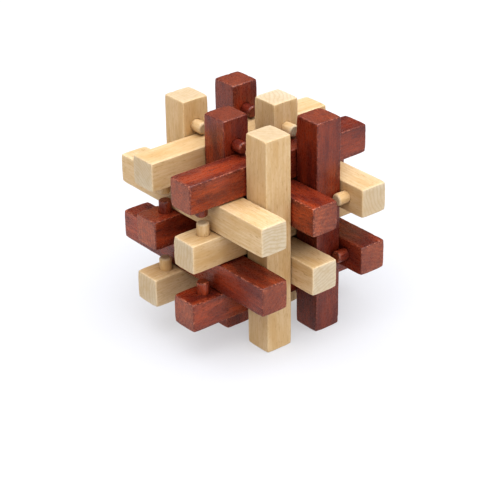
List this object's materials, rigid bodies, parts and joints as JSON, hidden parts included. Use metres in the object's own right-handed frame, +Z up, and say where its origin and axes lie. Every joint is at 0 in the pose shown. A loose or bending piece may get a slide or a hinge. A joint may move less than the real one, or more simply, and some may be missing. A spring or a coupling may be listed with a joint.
{
  "type": "wooden burr puzzle",
  "caption": "Interlocking burr puzzle: pale and dark square wooden sticks cross in three directions, and short glued dowels near their ends lock them together.",
  "frame": {"origin": "centre of the bounding box in X and Y, at the level of the posts' feet", "axes": "+X along the bars to their right ends, +Y along the rails to their back ends, +Z up the posts"},
  "size_m": [0.0874, 0.089, 0.0894],
  "materials": {
    "pale_wood": "satin",
    "dark_wood": "satin"
  },
  "bodies": {
    "post_front_left": {"post_front_left": "pale_wood", "post_front_left_dowel_bottom": "pale_wood", "post_front_left_dowel_top": "pale_wood"},
    "post_front_centre": {"post_front_centre": "dark_wood", "post_front_centre_dowel_bottom": "dark_wood", "post_front_centre_dowel_top": "dark_wood"},
    "post_front_right": {"post_front_right": "pale_wood", "post_front_right_dowel_bottom": "pale_wood", "post_front_right_dowel_top": "pale_wood"},
    "post_back_left": {"post_back_left": "dark_wood", "post_back_left_dowel_bottom": "dark_wood", "post_back_left_dowel_top": "dark_wood"},
    "post_back_centre": {"post_back_centre": "pale_wood", "post_back_centre_dowel_bottom": "pale_wood", "post_back_centre_dowel_top": "pale_wood"},
    "post_back_right": {"post_back_right": "dark_wood", "post_back_right_dowel_bottom": "dark_wood", "post_back_right_dowel_top": "dark_wood"},
    "rail_left_top": {"rail_left_top": "pale_wood", "rail_left_top_dowel_front": "pale_wood", "rail_left_top_dowel_back": "pale_wood"},
    "rail_left_middle": {"rail_left_middle": "dark_wood", "rail_left_middle_dowel_front": "dark_wood", "rail_left_middle_dowel_back": "dark_wood"},
    "rail_left_bottom": {"rail_left_bottom": "pale_wood", "rail_left_bottom_dowel_front": "pale_wood", "rail_left_bottom_dowel_back": "pale_wood"},
    "rail_right_top": {"rail_right_top": "dark_wood", "rail_right_top_dowel_front": "dark_wood", "rail_right_top_dowel_back": "dark_wood"},
    "rail_right_middle": {"rail_right_middle": "pale_wood", "rail_right_middle_dowel_front": "pale_wood", "rail_right_middle_dowel_back": "pale_wood"},
    "rail_right_bottom": {"rail_right_bottom": "dark_wood", "rail_right_bottom_dowel_front": "dark_wood", "rail_right_bottom_dowel_back": "dark_wood"},
    "key_bar_upper": {"key_bar_upper": "pale_wood"},
    "key_bar_lower": {"key_bar_lower": "dark_wood"},
    "bar_middle_upper": {"bar_middle_upper": "dark_wood", "bar_middle_upper_dowel_left": "dark_wood", "bar_middle_upper_dowel_right": "dark_wood"},
    "bar_middle_lower": {"bar_middle_lower": "pale_wood", "bar_middle_lower_dowel_left": "pale_wood", "bar_middle_lower_dowel_right": "pale_wood"},
    "bar_back_upper": {"bar_back_upper": "pale_wood", "bar_back_upper_dowel_left": "pale_wood", "bar_back_upper_dowel_right": "pale_wood"},
    "bar_back_lower": {"bar_back_lower": "dark_wood", "bar_back_lower_dowel_left": "dark_wood", "bar_back_lower_dowel_right": "dark_wood"}
  },
  "joints": [
    {"name": "post_front_left_pull", "type": "slide", "parent": "post_front_centre", "child": "post_front_left", "axis": [-1, 0, 0], "range_m": [0, 0.04]},
    {"name": "post_front_right_pull", "type": "slide", "parent": "post_front_centre", "child": "post_front_right", "axis": [1, 0, 0], "range_m": [0, 0.04]},
    {"name": "post_back_left_play", "type": "slide", "parent": "rail_right_middle", "child": "post_back_left", "axis": [0, 0, 1], "range_m": [-0.0006, 0]},
    {"name": "post_back_centre_play", "type": "slide", "parent": "rail_right_middle", "child": "post_back_centre", "axis": [0, 0, 1], "range_m": [-0.0006, 0]},
    {"name": "post_back_right_play", "type": "slide", "parent": "rail_right_middle", "child": "post_back_right", "axis": [0, 0, 1], "range_m": [-0.0006, 0]},
    {"name": "rail_left_top_play", "type": "slide", "parent": "rail_right_middle", "child": "rail_left_top", "axis": [0, 1, 0], "range_m": [-0.00128, 0.00032]},
    {"name": "rail_left_middle_play", "type": "slide", "parent": "rail_right_middle", "child": "rail_left_middle", "axis": [0, 1, 0], "range_m": [-0.0016, 0]},
    {"name": "rail_left_bottom_play", "type": "slide", "parent": "rail_right_middle", "child": "rail_left_bottom", "axis": [0, 1, 0], "range_m": [-0.0008, 0.0008]},
    {"name": "rail_right_top_play", "type": "slide", "parent": "rail_right_middle", "child": "rail_right_top", "axis": [0, 1, 0], "range_m": [-0.00016, 0.00144]},
    {"name": "stack_lift", "type": "slide", "parent": "post_front_centre", "child": "rail_right_middle", "axis": [0, 0, 1], "range_m": [0, 0.0006]},
    {"name": "rail_right_bottom_play", "type": "slide", "parent": "rail_right_middle", "child": "rail_right_bottom", "axis": [0, 1, 0], "range_m": [0, 0.0016]},
    {"name": "key_bar_upper_slide", "type": "slide", "parent": "rail_right_middle", "child": "key_bar_upper", "axis": [1, 0, 0], "range_m": [-0.08, 0.08]},
    {"name": "key_bar_lower_slide", "type": "slide", "parent": "rail_right_middle", "child": "key_bar_lower", "axis": [1, 0, 0], "range_m": [-0.08, 0.08]},
    {"name": "bar_middle_upper_play", "type": "slide", "parent": "rail_right_middle", "child": "bar_middle_upper", "axis": [1, 0, 0], "range_m": [0, 0.0016]},
    {"name": "bar_middle_lower_play", "type": "slide", "parent": "rail_right_middle", "child": "bar_middle_lower", "axis": [1, 0, 0], "range_m": [0, 0.0016]},
    {"name": "bar_back_upper_play", "type": "slide", "parent": "rail_right_middle", "child": "bar_back_upper", "axis": [1, 0, 0], "range_m": [0, 0.0016]},
    {"name": "bar_back_lower_play", "type": "slide", "parent": "rail_right_middle", "child": "bar_back_lower", "axis": [1, 0, 0], "range_m": [0, 0.0016]}
  ]
}
